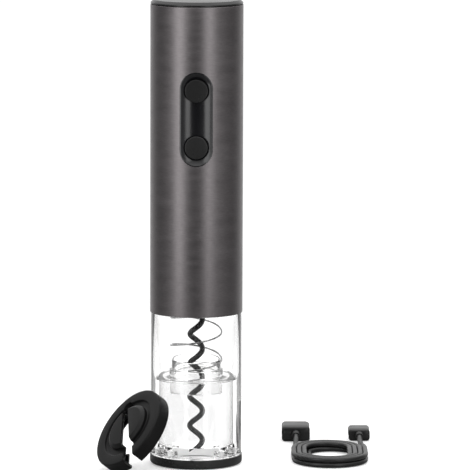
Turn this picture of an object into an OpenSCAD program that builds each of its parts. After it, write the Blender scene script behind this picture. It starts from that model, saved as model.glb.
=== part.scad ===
// Electric wine opener, with the foil cutter that leans on it and its charging cable.
//
// Frame: the origin is the centre of the base ring's underside. +Z runs up the worm's axis,
// -Y is the side with the two buttons, +X is to the right when facing them. Millimetres.
//
// A motor with two planetary stages turns the worm. The bottle's neck comes in from below,
// pushes the spring-loaded guide up, and the cork rides up the worm into the clear housing.

/* [Body] */
// Outer diameter of the metal sleeve and of the base
body_d = 48; // [47:0.5:50]
// Overall height
body_h = 242; // [240:1:250]
// Wall of the metal sleeve
sleeve_wall = 0.9; // [0.7:0.1:0.9]
// Height of the metal sleeve's lower edge
sleeve_z0 = 79.5; // [78:0.5:80]
// Height of the top cap's visible rim
cap_rim_h = 2.5; // [2:0.1:3]

/* [Clear end] */
// Outer diameter of the clear housing
clear_d = 47; // [46.5:0.1:47]
// Wall of the clear housing
clear_wall = 2; // [1.6:0.1:2]
// Height of the base ring
base_h = 4.8; // [4:0.1:5]
// Radius of the hole that the bottle's neck goes through
base_bore_r = 16; // [15.5:0.1:16.2]
// How far the bottle guide slides up
guide_travel = 20; // [19:0.5:20]

/* [Buttons] */
// Height of the middle of the button panel
panel_z = 182; // [180:1:184]
// Width of the button panel
panel_w = 17; // [16.5:0.1:17.5]
// Length of the button panel
panel_l = 48.5; // [48:0.5:50]
// Diameter of each button
button_d = 11.8; // [11:0.1:12]
// Distance between the two buttons
button_pitch = 29.2; // [28:0.2:30]

/* [Worm] */
// Radius of the worm's centreline
worm_r = 3.25; // [3:0.05:3.4]
// Thickness of the worm's wire
worm_wire_d = 2.8; // [2.4:0.1:2.8]
// Rise of the worm in one turn
worm_pitch = 15.27; // [14:0.01:16]

/* [Guide spring] */
// Radius of the spring's centreline
spring_r = 13.4; // [13.4:0.05:13.6]
// Thickness of the spring's wire
spring_wire_d = 0.8; // [0.6:0.1:0.8]
// Rise of the spring in one turn
spring_pitch = 14.1; // [13:0.1:15]

/* [Gearbox] */
// Gear module
gear_module = 0.7; // [0.68:0.01:0.7]
// Width of the second stage's planet gears
output_gear_w = 7.6; // [6:0.1:7.6]
// Width of the first stage's planet gears
input_gear_w = 6; // [5:0.1:6]

/* [Foil cutter] */
// Outer diameter of the foil cutter
cutter_d = 46; // [44:0.5:47]
// Height of the foil cutter's rim
cutter_h = 7.2; // [7:0.1:8]
// How far its face is tilted up from facing sideways
cutter_lean = 37; // [30:1:40]
// Compass direction that its face points to, from +X towards +Y
cutter_azimuth = 209; // [205:1:215]
// How far its slot is turned from pointing straight down the slope
cutter_turn = 48; // [40:1:50]

/* [Charging cable] */
// Thickness of the cord
cord_d = 2.7; // [2.5:0.1:2.7]
// Width of the coiled cord
coil_w = 40; // [38:1:44]
// Length of the coiled cord
coil_l = 56; // [54:1:60]
// Width of the gap inside the coil
coil_gap_w = 18.4; // [17:0.1:20]

/* [Hidden] */

$fn = 96;
eps = 0.01;
body_r = body_d / 2;
sleeve_ri = body_r - sleeve_wall;
sleeve_z1 = body_h - cap_rim_h;
clear_r = clear_d / 2;
clear_ri = clear_r - clear_wall;
// Parts inside the sleeve keep this gap from it.
slip = 0.05;
plug_r = sleeve_ri - slip;

// Heights along the worm's axis
guide_bead_top = 49.1;
spring_squeezed_l = 12.9;
spring_seat_z = guide_bead_top + guide_travel + spring_squeezed_l;
spigot_top = 86;
bulkhead_top = 90;
chuck_z0 = 76.6;
chuck_z1 = 84.6;
ring_top = 115;
plate_top = 118;
can_top = 148;
motor_top = 151;
chassis_top = 234.6;
usb_z = 224.2;

// Button panel
button_r = button_d / 2;
panel_back = 18.6;
panel_floor = 20.6;
panel_trough_r = 16;
button_face = 23;
button_zs = [panel_z + button_pitch / 2, panel_z - button_pitch / 2];

// Clear guide
guide_disc_z = 44.5;
guide_top = 53.7;
guide_bottom = 10.2;

// Gears
pressure_angle = 25;
sun_teeth = 12;
planet_teeth = 15;
ring_teeth = sun_teeth + 2 * planet_teeth;
orbit_r = gear_module * (sun_teeth + planet_teeth) / 2;
gear_slack = 0.04;
planet_pin_r = 1.5;
planet_bore_r = 1.55;
carrier_r = 13.8;
ring_r = 19;
output_gear_z = 95.2;
input_gear_z = 107.8;
screw_circle_r = 17.3;
motor_screw_x = 8;
output_shaft_r = 3.95;
key_depth = 3;

// Motor
can_r = 12.2;
can_ri = 11.2;
shaft_r = 1;

// Electrics
battery_r = 9;
battery_y = 10.5;
battery_z0 = 160;
battery_l = 50;
board_front = -11.6;
board_back = -10;
charge_board_z = 221;
board_z0 = 153;
board_l = 66;

// Chassis
chassis_r = 22.9;
chassis_ri = 21.3;
screw_x = 17.5;
screw_zs = [159, 213];

// Foil cutter
cutter_r = cutter_d / 2;
cutter_back_gap = 0.3;
cutter_side_shift = 6;
cutter_boss_h = 2;
cutter_groove_r = 16.8;
cutter_boss_r = 13.2;
cutter_recess_r = cutter_r - 2;
cutter_web_z = 4.8;
cutter_hole_x = -15.3;
cutter_hole_r = 3.2;
wheel_circle_r = 16.2;
wheel_angles = [50, 130, 230, 310];
cutter_screw_angles = [90, 270];

// Cable: the coil lies in two layers, wound in below and out again on top
coil_layers = 2;
coil_x = 70;
coil_y = 10;
coil_h = coil_layers * cord_d;
coil_gap_l = coil_l - coil_w + coil_gap_w;
usb_a_x = 53;
usb_a_y = 54;
usb_a_z = 4;
usb_c_x = 87;
usb_c_y = 57;
usb_c_z = 3.1;
lead_a_route = [
    [51.3, 14, 1.35], [51.3, 18, 1.35], [51.4, 23, 1.35], [51.7, 28, 1.35], [52, 33, 1.4],
    [52.4, 38, 1.6], [52.7, 43, 2.3], [52.9, 48, 3.3], [53, 51, 3.8], [53, 54, 4]
];
lead_c_route = [
    [88.7, 14, 4], [88.7, 18, 4], [88.6, 23, 3.8], [88.4, 28, 3.2], [88.1, 33, 2.5],
    [87.8, 38, 1.8], [87.5, 43, 1.5], [87.2, 48, 1.9], [87, 53, 2.7], [87, 57, 3.1]
];

// ---------------------------------------------------------------- shapes that repeat

// A flat outline with round ends, long side along Y.
module obround(w, l) {
    square([w, l - w], center = true);
    for (side = [-1, 1])
        translate([0, side * (l - w) / 2])
            circle(d = w);
}

// A rectangle with rounded corners.
module rounded_rect(w, h, r) {
    square([w, h - 2 * r], center = true);
    square([w - 2 * r, h], center = true);
    for (x = [-1, 1], y = [-1, 1])
        translate([x * (w / 2 - r), y * (h / 2 - r)])
            circle(r = r);
}

// An outline stood up in the XZ plane and run from depth y0 to y1, both measured towards -Y.
module front_prism(y0, y1) {
    translate([0, -y0, 0])
        rotate([90, 0, 0])
            linear_extrude(y1 - y0)
                children();
}

// A hollow cylinder.
module ring(r_out, r_in, z0, z1) {
    difference() {
        translate([0, 0, z0])
            cylinder(h = z1 - z0, r = r_out);
        translate([0, 0, z0 - eps])
            cylinder(h = z1 - z0 + 2 * eps, r = r_in);
    }
}

// A solid cylinder between two heights.
module rod(r, z0, z1) {
    translate([0, 0, z0])
        cylinder(h = z1 - z0, r = r);
}

function unit(v) = v / norm(v);
function path_dir(path, i) =
    unit(path[min(i + 1, len(path) - 1)] - path[max(i - 1, 0)]);

// A round tube swept along a path, with a radius for each point.
module tube(path, radii, sides, up = [0, 0, 1]) {
    rings = len(path);
    points = [
        for (i = [0 : rings - 1], k = [0 : sides - 1])
            let (
                t = path_dir(path, i),
                u = unit(cross(t, up)),
                v = cross(u, t),
                a = 360 * k / sides
            )
            path[i] + radii[i] * (cos(a) * u + sin(a) * v)
    ];
    first_cap = [for (k = [sides - 1 : -1 : 0]) k];
    last_cap = [for (k = [0 : sides - 1]) (rings - 1) * sides + k];
    walls = [
        for (i = [0 : rings - 2], k = [0 : sides - 1], half = [0, 1])
            let (
                a = i * sides + k,
                d = i * sides + (k + 1) % sides,
                b = a + sides,
                c = d + sides
            )
            half == 0 ? [a, d, c] : [a, c, b]
    ];
    polyhedron(points = points, faces = concat([first_cap, last_cap], walls));
}

// A right-handed helix about Z, at angle 0 when it passes height z_ref.
function helix(r, pitch, z_ref, from, to, steps) = [
    for (i = [0 : steps])
        let (a = from + (to - from) * i / steps)
        [r * cos(a), r * sin(a), z_ref + pitch * a / 360]
];

// Involute gears. Half of a tooth's angle at radius r, on a gear of the given teeth.
function involute(a) = tan(a) * 180 / PI - a;
function pitch_r(teeth) = gear_module * teeth / 2;
function base_r(teeth) = pitch_r(teeth) * cos(pressure_angle);
function half_tooth(teeth, r, slack) =
    let (b = base_r(teeth))
    90 / teeth - slack / pitch_r(teeth) * 180 / PI
        + involute(pressure_angle) - involute(acos(min(1, b / max(r, b))));
function flank(teeth, r_root, r_tip) =
    let (b = base_r(teeth), start = max(b, r_root))
    concat(
        r_root < b - eps ? [r_root] : [],
        [for (k = [0 : 4]) start + (r_tip - start) * k / 4]
    );
function gear_outline(teeth, r_root, r_tip, slack) =
    let (rs = flank(teeth, r_root, r_tip), n = len(rs))
    [
        for (i = [0 : teeth - 1], k = [0 : 2 * n - 1])
            let (
                rising = k < n,
                r = rising ? rs[k] : rs[2 * n - 1 - k],
                a = 360 * i / teeth + (rising ? -1 : 1) * half_tooth(teeth, r, slack)
            )
            [r * cos(a), r * sin(a)]
    ];

// A spur gear with a tooth on +X.
module spur_gear(teeth, z0, width) {
    p = pitch_r(teeth);
    translate([0, 0, z0])
        linear_extrude(width)
            polygon(gear_outline(teeth, p - 1.2 * gear_module, p + 0.9 * gear_module, gear_slack));
}

// One planet gear of a stage, in mesh with the sun and the ring at rest.
module planet_gear(i, z0, width) {
    rotate([0, 0, 120 * i])
        translate([orbit_r, 0, 0])
            difference() {
                spur_gear(planet_teeth, z0, width);
                rod(planet_bore_r, z0 - 1, z0 + width + 1);
            }
}

// Places its children at the three planets' centres.
module at_planets() {
    for (i = [0 : 2])
        rotate([0, 0, 120 * i])
            translate([orbit_r, 0, 0])
                children();
}

// Places its children at the gearbox's three long screws.
module at_gearbox_screws() {
    for (i = [0 : 2])
        rotate([0, 0, 60 + 120 * i])
            translate([screw_circle_r, 0, 0])
                children();
}

// ---------------------------------------------------------------- outside of the opener

module outer_sleeve() {
    color([0.36, 0.34, 0.34])
        difference() {
            ring(body_r, sleeve_ri, sleeve_z0, sleeve_z1);
            translate([0, 0, panel_z])
                front_prism(0, body_r + 1)
                    obround(panel_w + 2 * slip, panel_l + 2 * slip);
            translate([0, 0, usb_z])
                front_prism(-body_r - 1, 0)
                    rotate([0, 0, 90])
                        obround(3.9, 9.6);
        }
}

module top_cap() {
    rim = 1.4;
    color([0.08, 0.08, 0.09])
        rotate_extrude()
            polygon([
                [0, sleeve_z1 + 0.6], [plug_r - 1.6, sleeve_z1 + 0.6],
                [plug_r - 1.6, sleeve_z1 - 4.4], [plug_r, sleeve_z1 - 4.4],
                [plug_r, sleeve_z1], [body_r - 0.1, sleeve_z1],
                [body_r - 0.1, body_h - rim], [body_r - 0.1 - 0.6 * rim, body_h - 0.3],
                [body_r - 0.1 - rim, body_h], [0, body_h]
            ]);
}

// The panel's hollow: a shallow trough with round ends, inside a narrow lip.
module panel_scoop() {
    lip = 0.4;
    straight = panel_l - panel_w;
    intersection() {
        front_prism(0, body_r + 1)
            obround(panel_w - 2 * lip, panel_l - 2 * lip);
        translate([0, -panel_floor - panel_trough_r, 0]) {
            cylinder(h = straight, r = panel_trough_r, center = true);
            for (side = [-1, 1])
                translate([0, 0, side * straight / 2])
                    sphere(r = panel_trough_r);
        }
    }
}

module button_bezel() {
    color([0.05, 0.05, 0.06])
        difference() {
            union() {
                intersection() {
                    translate([0, 0, panel_z])
                        front_prism(panel_back, body_r + 1)
                            obround(panel_w, panel_l);
                    rod(body_r, panel_z - panel_l, panel_z + panel_l);
                }
                intersection() {
                    translate([0, 0, panel_z])
                        front_prism(panel_back, body_r)
                            obround(panel_w + 3, panel_l + 3);
                    ring(chassis_r, chassis_ri + 0.1, panel_z - panel_l, panel_z + panel_l);
                }
            }
            translate([0, 0, panel_z])
                panel_scoop();
            for (z = button_zs)
                translate([0, 0, z])
                    front_prism(panel_back - 1, body_r + 1)
                        circle(r = button_r + 0.25);
        }
}

// A push button: dished face, body, retaining flange and the stem that meets the switch.
module button(z) {
    color([0.06, 0.06, 0.07])
        translate([0, 0, z])
            rotate([90, 0, 0])
                rotate_extrude()
                    polygon([
                        [0, 16.25], [2, 16.25], [2, 17.3], [button_r + 0.9, 17.3],
                        [button_r + 0.9, panel_back - 0.1], [button_r, panel_back - 0.1],
                        [button_r, button_face - 0.5], [button_r - 0.2, button_face - 0.15],
                        [button_r - 0.5, button_face], [button_r - 0.9, button_face],
                        [button_r - 1.4, button_face - 0.3], [button_r / 2, button_face - 0.5],
                        [0, button_face - 0.55]
                    ]);
}

module up_button() {
    button(button_zs[0]);
}

module down_button() {
    button(button_zs[1]);
}

// ---------------------------------------------------------------- chassis

// A flat ring inside the chassis that holds what passes through it.
module chassis_rib(z, r_in) {
    ring(chassis_ri + eps, r_in, z, z + 2);
}

// Half of the chassis tube, y_side -1 for the front and 1 for the rear.
module chassis_half(y_side) {
    keep = 2 * chassis_r;
    boss_l = y_side < 0 ? 9.4 : 11;
    intersection() {
        union() {
            ring(chassis_r, chassis_ri, bulkhead_top + 0.2, chassis_top);
            for (z = [96, 109])
                chassis_rib(z, ring_r + slip);
            for (z = [121, 143])
                chassis_rib(z, can_r + slip);
            for (x = [-1, 1], z = screw_zs)
                translate([x * screw_x, 0, z])
                    rotate([y_side * -90, 0, 0])
                        cylinder(h = boss_l, r = 2.6);
        }
        translate([-keep / 2, y_side < 0 ? -keep : 0.05, 0])
            cube([keep, keep - 0.05, body_h]);
        rod(chassis_r, 0, body_h);
    }
}

module chassis_front() {
    color([0.16, 0.16, 0.17])
        difference() {
            chassis_half(-1);
            translate([0, 0, panel_z])
                front_prism(12, body_r)
                    obround(panel_w + 3.2, panel_l + 3.2);
            for (x = [-1, 1], z = screw_zs)
                translate([x * screw_x, -8, z])
                    rotate([-90, 0, 0])
                        cylinder(h = 10, r = 1.1);
        }
}

module chassis_rear() {
    color([0.16, 0.16, 0.17])
        difference() {
            union() {
                chassis_half(1);
                for (z = [165, 203])
                    intersection() {
                        rod(chassis_ri + eps, z, z + 2);
                        translate([-body_r, 8, 0])
                            cube([body_d, body_r, body_h]);
                    }
            }
            translate([0, battery_y, 0])
                rod(battery_r + 0.1, battery_z0 - 2, battery_z0 + battery_l + 2);
            for (x = [-1, 1], z = screw_zs)
                translate([x * screw_x, 0, z])
                    rotate([-90, 0, 0]) {
                        translate([0, 0, -1])
                            cylinder(h = 14, r = 1.2);
                        translate([0, 0, 9])
                            cylinder(h = 14, r = 2.1);
                    }
            translate([0, 0, usb_z])
                front_prism(-body_r, -14)
                    rotate([0, 0, 90])
                        obround(5.4, 11);
        }
}

module chassis_screws() {
    color([0.7, 0.7, 0.72])
        for (x = [-1, 1], z = screw_zs)
            translate([x * screw_x, 0, z])
                rotate([-90, 0, 0])
                    rotate_extrude()
                        polygon([
                            [0, -7.5], [0.8, -7.5], [1.1, -6.8], [1.1, 9], [2, 9], [2, 9.8],
                            [1.6, 10.3], [0.7, 10.4], [0.7, 9.8], [0, 9.8]
                        ]);
}

// ---------------------------------------------------------------- clear end

module clear_housing() {
    floor_z = base_h + 0.8;
    lug_angles = [20, 50, 130, 160, 200, 230, 310, 340];
    color([0.9, 0.94, 0.96, 0.3]) {
        rotate_extrude()
            polygon([
                [base_bore_r + 0.2, base_h], [clear_r, base_h], [clear_r, sleeve_z0],
                [plug_r, sleeve_z0], [plug_r, spigot_top], [clear_ri, spigot_top],
                [clear_ri, floor_z + 0.8], [clear_ri - 0.8, floor_z],
                [base_bore_r + 0.2, floor_z]
            ]);
        for (a = lug_angles)
            rotate([0, 0, a])
                translate([base_bore_r + 1, -2.5, floor_z - eps])
                    cube([clear_ri - base_bore_r - 0.5, 5, 2.8]);
    }
}

module base_ring() {
    round_r = 3.8;
    color([0.1, 0.1, 0.11])
        rotate_extrude()
            difference() {
                translate([base_bore_r, 0])
                    square([body_r - base_bore_r, base_h]);
                translate([body_r - round_r, 0])
                    difference() {
                        square(round_r);
                        translate([0, round_r])
                            circle(r = round_r);
                    }
            }
}

module bottle_guide() {
    collar_r = spring_r - 0.6;
    bore_r = 12;
    lip_r = 13.3;
    skirt_ri = 17.7;
    skirt_r = 19.5;
    disc_r = clear_ri - 0.3;
    bead_r = 14;
    color([0.9, 0.94, 0.96, 0.3])
        rotate_extrude()
            polygon([
                [bore_r, guide_disc_z - 6.8], [lip_r - 0.4, guide_disc_z - 6.8],
                [lip_r, guide_disc_z - 6], [lip_r, guide_disc_z], [skirt_ri, guide_disc_z],
                [skirt_ri, guide_bottom + 0.6], [skirt_ri + 0.5, guide_bottom],
                [skirt_r - 0.4, guide_bottom], [skirt_r, guide_bottom + 0.5],
                [skirt_r, guide_disc_z], [disc_r, guide_disc_z],
                [disc_r, guide_disc_z + 1], [bead_r, guide_disc_z + 1],
                [bead_r, guide_bead_top - 0.6], [bead_r - 0.5, guide_bead_top],
                [collar_r, guide_bead_top], [collar_r, guide_top - 0.4],
                [collar_r - 0.3, guide_top], [bore_r + 0.2, guide_top],
                [bore_r, guide_top - 0.3]
            ]);
}

module guide_spring() {
    wire_r = spring_wire_d / 2;
    // Height at which the wire passes +X
    z_ref = 67.9;
    from = (guide_bead_top + wire_r + 0.1 - z_ref) / spring_pitch * 360;
    to = (spring_seat_z - wire_r - 0.1 - z_ref) / spring_pitch * 360;
    steps = 42;
    color([0.75, 0.75, 0.77])
        tube(
            helix(spring_r, spring_pitch, z_ref, from, to, steps),
            [for (i = [0 : steps]) wire_r],
            8
        );
}

module worm() {
    // Height at which the wire passes +X
    z_ref = 12.9;
    from = -180;
    to = (chuck_z0 + 1.2 - z_ref) / worm_pitch * 360;
    steps = 74;
    taper_steps = 7;
    wire_r = worm_wire_d / 2;
    color([0.07, 0.07, 0.08])
        tube(
            helix(worm_r, worm_pitch, z_ref, from, to, steps),
            [for (i = [0 : steps]) wire_r * (0.12 + 0.88 * min(1, i / taper_steps))],
            12
        );
}

// ---------------------------------------------------------------- drive

// The flat that keys the output shaft in the chuck.
module shaft_key(depth) {
    translate([-6, depth, chuck_z0])
        cube([12, 6, chuck_z1 - chuck_z0 + eps]);
}

module worm_chuck() {
    color([0.12, 0.12, 0.13])
        difference() {
            rotate_extrude()
                polygon([
                    [0, chuck_z0], [4.9, chuck_z0], [5.4, chuck_z0 + 0.6],
                    [5.4, chuck_z1], [0, chuck_z1]
                ]);
            difference() {
                rod(output_shaft_r + 0.02, chuck_z0 + 3, chuck_z1 + 1);
                shaft_key(key_depth + 0.02);
            }
        }
}

module bulkhead() {
    bush_r = 5.5;
    color([0.86, 0.86, 0.84])
        difference() {
            union() {
                ring(clear_ri - 0.2, bush_r, spigot_top, bulkhead_top);
                ring(15.2, 11, spring_seat_z, spigot_top + eps);
            }
            at_gearbox_screws()
                rod(0.85, bulkhead_top - 3, bulkhead_top + 1);
        }
}

module spindle_bush() {
    bore_r = output_shaft_r + 0.05;
    color([0.72, 0.55, 0.32])
        union() {
            ring(5.5, bore_r, spigot_top - 0.1, bulkhead_top);
            ring(7, bore_r, spigot_top - 0.8, spigot_top);
        }
}

// A planet carrier's disc with holes for its three pins.
module carrier_disc(z0, z1) {
    difference() {
        rod(carrier_r, z0, z1);
        at_planets()
            rod(planet_pin_r, z1 - 2, z1 + 1);
    }
}

module output_carrier() {
    disc_z0 = bulkhead_top + 0.6;
    color([0.6, 0.61, 0.63])
        union() {
            carrier_disc(disc_z0, output_gear_z - 0.2);
            difference() {
                rod(output_shaft_r, chuck_z0 + 3.1, disc_z0 + eps);
                shaft_key(key_depth);
            }
        }
}

module output_pins() {
    color([0.78, 0.78, 0.8])
        at_planets()
            rod(planet_pin_r, output_gear_z - 2.2, output_gear_z + output_gear_w + 0.5);
}

module output_planet(i) {
    color([0.9, 0.89, 0.84])
        planet_gear(i, output_gear_z, output_gear_w);
}

module ring_gear() {
    p = pitch_r(ring_teeth);
    color([0.2, 0.2, 0.22])
        difference() {
            rod(ring_r, bulkhead_top, ring_top);
            translate([0, 0, bulkhead_top - 1])
                linear_extrude(ring_top - bulkhead_top + 2)
                    polygon(gear_outline(
                        ring_teeth, p - 0.8 * gear_module, p + 1.25 * gear_module, -gear_slack
                    ));
            at_gearbox_screws()
                rod(0.95, bulkhead_top - 1, ring_top + 1);
        }
}

module input_carrier() {
    disc_z0 = output_gear_z + output_gear_w + 1.2;
    color([0.6, 0.61, 0.63])
        union() {
            carrier_disc(disc_z0, input_gear_z - 0.2);
            spur_gear(sun_teeth, output_gear_z - 0.1, disc_z0 - output_gear_z + 0.1 + eps);
        }
}

module input_pins() {
    color([0.78, 0.78, 0.8])
        at_planets()
            rod(planet_pin_r, input_gear_z - 2.2, input_gear_z + input_gear_w + 0.5);
}

module input_planet(i) {
    color([0.9, 0.89, 0.84])
        planet_gear(i, input_gear_z, input_gear_w);
}

module gearbox_plate() {
    color([0.72, 0.73, 0.75])
        difference() {
            ring(ring_r, 3.2, ring_top, plate_top);
            at_gearbox_screws()
                rod(0.95, ring_top - 1, plate_top + 1);
            for (x = [-1, 1])
                translate([x * motor_screw_x, 0, 0]) {
                    rod(1.2, ring_top - 1, plate_top + 1);
                    rod(2.3, ring_top - 1, ring_top + 1.5);
                }
        }
}

module gearbox_screws() {
    color([0.7, 0.7, 0.72]) {
        at_gearbox_screws() {
            rod(0.84, bulkhead_top - 2.8, plate_top + eps);
            rod(1.6, plate_top, plate_top + 1.2);
        }
        for (x = [-1, 1])
            translate([x * motor_screw_x, 0, 0]) {
                rod(2.2, ring_top + 0.2, ring_top + 1.5);
                rod(1.19, ring_top + 1.5 - eps, plate_top + 1.4);
            }
    }
}

module motor_can() {
    color([0.74, 0.75, 0.77])
        difference() {
            rod(can_r, plate_top, can_top);
            rod(can_ri, plate_top + 1, can_top + 1);
            rod(2.5, plate_top - 1, plate_top + 2);
            for (x = [-1, 1])
                translate([x * motor_screw_x, 0, 0])
                    rod(1.2, plate_top - 1, plate_top + 2);
        }
}

module motor_cap() {
    color([0.88, 0.87, 0.83])
        difference() {
            union() {
                rod(can_r - 0.1, can_top, motor_top);
                ring(can_ri - 0.05, can_ri - 1.3, can_top - 1.5, can_top + eps);
            }
            rod(2.5, can_top - 1, motor_top + 1);
            for (x = [-1, 1])
                translate([x * 7 - 0.3, -1.25, can_top - 1])
                    cube([0.6, 2.5, 6]);
        }
}

module motor_bushes() {
    color([0.72, 0.55, 0.32]) {
        ring(2.5, shaft_r + 0.03, plate_top - 1, plate_top + 2);
        ring(2.5, shaft_r + 0.03, can_top, motor_top);
    }
}

module motor_magnets() {
    z0 = plate_top + 4;
    z1 = can_top - 4;
    color([0.25, 0.25, 0.27])
        difference() {
            ring(can_ri - 0.02, 9.6, z0, z1);
            translate([-3, -can_r, z0 - 1])
                cube([6, 2 * can_r, z1 - z0 + 2]);
        }
}

module motor_shaft() {
    color([0.8, 0.8, 0.82])
        rod(shaft_r, input_gear_z + 0.2, motor_top + 1);
}

module motor_pinion() {
    z0 = input_gear_z + 0.2;
    color([0.75, 0.6, 0.3])
        difference() {
            spur_gear(sun_teeth, z0, input_gear_w + 0.6);
            rod(shaft_r, z0 - 1, ring_top);
        }
}

// Three-pole rotor with its commutator as a solid of its own.
module armature() {
    core_r = 9.2;
    core_z0 = plate_top + 5;
    core_z1 = can_top - 5;
    color([0.5, 0.34, 0.2]) {
        difference() {
            ring(core_r, shaft_r, core_z0, core_z1);
            for (a = [60, 180, 300])
                rotate([0, 0, a])
                    translate([4, -1.1, core_z0 - 1])
                        cube([core_r, 2.2, core_z1 - core_z0 + 2]);
        }
        ring(2.6, shaft_r, core_z1 + 1, can_top - 0.6);
    }
}

// ---------------------------------------------------------------- electrics

module battery_cell() {
    top = battery_z0 + battery_l;
    color([0.2, 0.42, 0.62])
        translate([0, battery_y, 0])
            rotate_extrude()
                polygon([
                    [0, battery_z0], [battery_r - 0.5, battery_z0], [battery_r, battery_z0 + 0.6],
                    [battery_r, top - 0.6], [battery_r - 0.5, top], [3, top], [3, top + 1],
                    [0, top + 1]
                ]);
}

module battery_tabs() {
    top = battery_z0 + battery_l + 1;
    color([0.8, 0.8, 0.78])
        for (z = [battery_z0 - 0.3, top])
            translate([-2.5, -4, z])
                cube([5, battery_y + 7, 0.3]);
}

module control_board() {
    color([0.07, 0.32, 0.17])
        translate([-15.5, board_front, board_z0])
            difference() {
                cube([31, board_back - board_front, board_l]);
                for (x = [2.5, 28.5], z = [13, board_l - 13])
                    translate([x, -1, z])
                        rotate([-90, 0, 0])
                            cylinder(h = 4, r = 1.1);
            }
}

// Chips, coil and capacitors on the rear of the control board: [x, z, width, height, depth].
module board_chips() {
    chips = [
        [-7, 200, 5, 6, 1.3], [5, 203, 4, 4, 1], [-9, 184, 3, 3, 1], [8, 188, 5, 5, 2.2],
        [0, 170, 6, 5, 1.5], [-9, 166, 3, 2, 0.8], [9, 166, 3, 2, 0.8]
    ];
    color([0.1, 0.1, 0.11])
        for (c = chips)
            translate([c[0] - c[2] / 2, board_back, c[1] - c[3] / 2])
                cube([c[2], c[4], c[3]]);
}

module tact_switches() {
    color([0.2, 0.2, 0.21])
        for (z = button_zs)
            translate([0, board_front, z]) {
                translate([-3, -3, -3])
                    cube([6, 3, 6]);
                rotate([90, 0, 0])
                    cylinder(h = 3.6, r = 1.7);
            }
}

module charge_board() {
    color([0.07, 0.32, 0.17])
        intersection() {
            rod(chassis_ri - 0.2, charge_board_z, charge_board_z + 1.6);
            translate([-14, -8, charge_board_z - 1])
                cube([28, 28, 4]);
        }
}

// Receptacle: shell, and the tongue inside it as a solid of its own.
module usb_socket() {
    z0 = charge_board_z + 1.6;
    color([0.75, 0.76, 0.78]) {
        translate([0, 0, z0 + 1.63])
            difference() {
                front_prism(-22.8, -15.4)
                    rounded_rect(8.94, 3.26, 1.5);
                front_prism(-23.8, -16.4)
                    rounded_rect(8.34, 2.66, 1.3);
            }
        translate([-3.35, 16.5, z0 + 1.28])
            cube([6.7, 4.4, 0.7]);
    }
}

// Leads from the motor's tags to the board, and from the battery's tabs to the board.
module wiring() {
    wire_r = 0.65;
    motor_tag_x = 7;
    color([0.7, 0.12, 0.1])
        for (side = [-1, 1]) {
            translate([side * motor_tag_x - 0.25, -1.2, can_top - 0.6])
                cube([0.5, 2.4, 5]);
            route = [
                [side * 7, -1.9, 153], [side * 7.1, -3, 154.4], [side * 7.4, -5.5, 156],
                [side * 7.8, -7.8, 158.5], [side * 8, -9.3, 161]
            ];
            tube(route, [for (p = route) wire_r], 8, [1, 0, 0]);
        }
    color([0.1, 0.1, 0.1])
        for (z = [battery_z0 - 1, battery_z0 + battery_l + 2]) {
            route = [[0, -4.8, z], [0, -6.6, z + 0.8], [0, -8, z + 2.6], [0, -9.2, z + 5]];
            tube(route, [for (p = route) wire_r], 8, [1, 0, 0]);
        }
}

// ---------------------------------------------------------------- foil cutter

// Stands the cutter on the floor with its upper edge against the clear housing.
// Inside, +Z is the way its face looks and +X is the way its slot opens.
module place_cutter() {
    out_r = clear_r + cutter_back_gap + cutter_r * sin(cutter_lean);
    rotate([0, 0, cutter_azimuth])
        translate([out_r, cutter_side_shift, cutter_r * cos(cutter_lean) + eps])
            rotate([0, 90 - cutter_lean, 0])
                rotate([0, 0, cutter_turn])
                    children();
}

// The tapered slot with its round end.
module cutter_slot(z0, z1, spare) {
    mouth = 7.4 + 2 * spare;
    throat = 3.6 + 2 * spare;
    translate([0, 0, z0])
        linear_extrude(z1 - z0) {
            polygon([
                [cutter_hole_x, -throat / 2], [cutter_r + 1, -mouth / 2],
                [cutter_r + 1, mouth / 2], [cutter_hole_x, throat / 2]
            ]);
            translate([cutter_hole_x, 0])
                circle(r = cutter_hole_r + spare);
        }
}

module at_wheel(angle) {
    rotate([0, 0, angle])
        translate([wheel_circle_r, 0, 0])
            children();
}

module cutter_body() {
    top = cutter_h + cutter_boss_h;
    color([0.09, 0.09, 0.1])
        place_cutter()
            difference() {
                union() {
                    rotate_extrude()
                        polygon([
                            [0, cutter_h + 0.4], [10.4, cutter_h + 0.4], [11.4, cutter_h - 0.6],
                            [11.4, cutter_web_z], [cutter_recess_r, cutter_web_z],
                            [cutter_recess_r, 0.4], [cutter_recess_r + 0.4, 0],
                            [cutter_r - 0.4, 0], [cutter_r, 0.4],
                            [cutter_r, cutter_h - 1], [cutter_r - 0.3, cutter_h - 0.3],
                            [cutter_r - 1, cutter_h], [cutter_groove_r + 0.3, cutter_h],
                            [cutter_groove_r, cutter_h - 0.3],
                            [cutter_groove_r - 0.3, cutter_h - 1.2],
                            [cutter_boss_r, cutter_h - 1.2], [cutter_boss_r, cutter_h + 0.5],
                            [cutter_boss_r - 1.6, top - 0.1], [cutter_boss_r - 2.2, top], [0, top]
                        ]);
                    for (a = cutter_screw_angles)
                        rotate([0, 0, a])
                            translate([17.2, 0, 0])
                                ring(1.7, 0.7, 2.25, cutter_web_z + eps);
                }
                cutter_slot(-1, top + 1, 0);
                for (a = wheel_angles)
                    at_wheel(a)
                        rod(0.8, cutter_web_z - 1, cutter_web_z + 0.8);
            }
}

module cutter_plate() {
    color([0.15, 0.15, 0.16])
        place_cutter()
            difference() {
                ring(cutter_recess_r - 0.1, 13.4, 1.2, 2.2);
                cutter_slot(0, 3, 1);
                for (a = wheel_angles)
                    at_wheel(a)
                        rod(0.8, 0, 3);
                for (a = cutter_screw_angles)
                    rotate([0, 0, a])
                        translate([17.2, 0, 0])
                            rod(0.75, 0, 3);
            }
}

module cutter_pins() {
    color([0.8, 0.8, 0.82])
        place_cutter()
            for (a = wheel_angles)
                at_wheel(a)
                    rod(0.8, 1.2, cutter_web_z + 0.8);
}

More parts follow.
